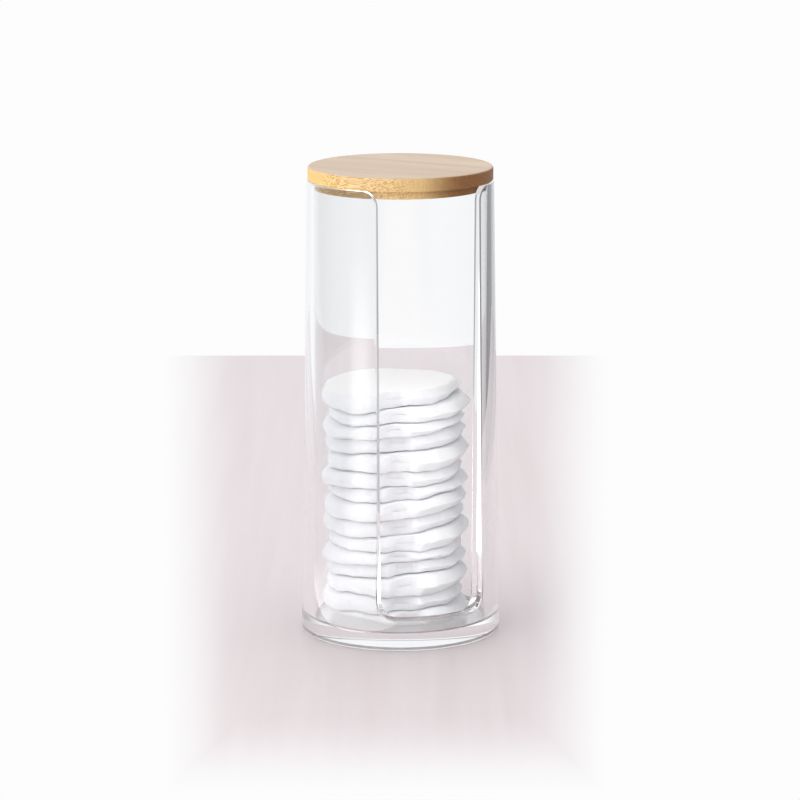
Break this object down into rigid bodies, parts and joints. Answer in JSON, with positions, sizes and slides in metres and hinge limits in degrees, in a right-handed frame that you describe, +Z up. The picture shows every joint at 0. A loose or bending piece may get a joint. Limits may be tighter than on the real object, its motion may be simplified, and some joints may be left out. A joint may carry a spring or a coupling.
{
  "type": "cotton pad dispenser",
  "caption": "Clear round cup with a tall front slot open at the rim, a lift-off bamboo lid with a plug, and a pile of round cotton pads inside",
  "frame": {"origin": "centre of the foot's standing ring, on the surface the holder stands on", "axes": "+Z up along the cup's axis, -Y towards the slot, +X to the right seen from the slot"},
  "size_m": [0.0784, 0.0784, 0.1842],
  "materials": {
    "clear_acrylic": "clear, polished",
    "bamboo": "satin, fine straight grain",
    "cotton": "soft pressed cotton wool"
  },
  "bodies": {
    "holder": {"holder_body": "clear_acrylic", "cotton_pad_01": "cotton", "cotton_pad_02": "cotton", "cotton_pad_03": "cotton", "cotton_pad_04": "cotton", "cotton_pad_05": "cotton", "cotton_pad_06": "cotton", "cotton_pad_07": "cotton", "cotton_pad_08": "cotton", "cotton_pad_09": "cotton", "cotton_pad_10": "cotton", "cotton_pad_11": "cotton", "cotton_pad_12": "cotton", "cotton_pad_13": "cotton", "cotton_pad_14": "cotton"},
    "lid": {"lid": "bamboo"},
    "top_pad": {"cotton_pad_15": "cotton"}
  },
  "joints": [
    {"name": "lid_lift", "type": "slide", "parent": "holder", "child": "lid", "axis": [0, 0, 1], "range_m": [0, 0.06]},
    {"name": "top_pad_lift", "type": "slide", "parent": "holder", "child": "top_pad", "axis": [0, 0, 1], "range_m": [0, 0.07]}
  ]
}
